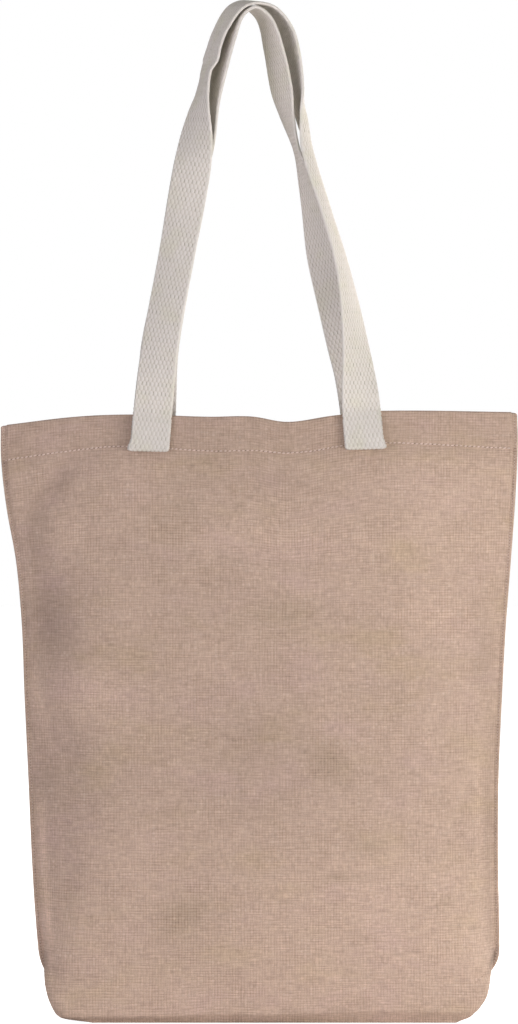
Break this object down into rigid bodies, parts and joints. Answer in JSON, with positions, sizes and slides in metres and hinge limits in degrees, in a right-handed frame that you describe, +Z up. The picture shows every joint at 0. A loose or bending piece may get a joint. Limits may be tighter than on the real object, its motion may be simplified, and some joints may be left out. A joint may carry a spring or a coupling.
{
  "type": "jute tote bag",
  "caption": "Upright soft shopping tote of plain jute cloth with a boxed base, hemmed mouth, side seams and webbing loop handles.",
  "frame": {"origin": "on the surface that the bag stands on, under the middle of its box", "axes": "+Z up along the handles, -Y out of the front panel, +X to the right seen from the front"},
  "size_m": [0.3824, 0.072, 0.7534],
  "materials": {
    "jute_cloth": "matte plain weave",
    "cotton_webbing": "matte woven webbing"
  },
  "bodies": {
    "root": {"body": "jute_cloth", "handle_front": "cotton_webbing", "handle_back": "cotton_webbing"}
  },
  "joints": []
}
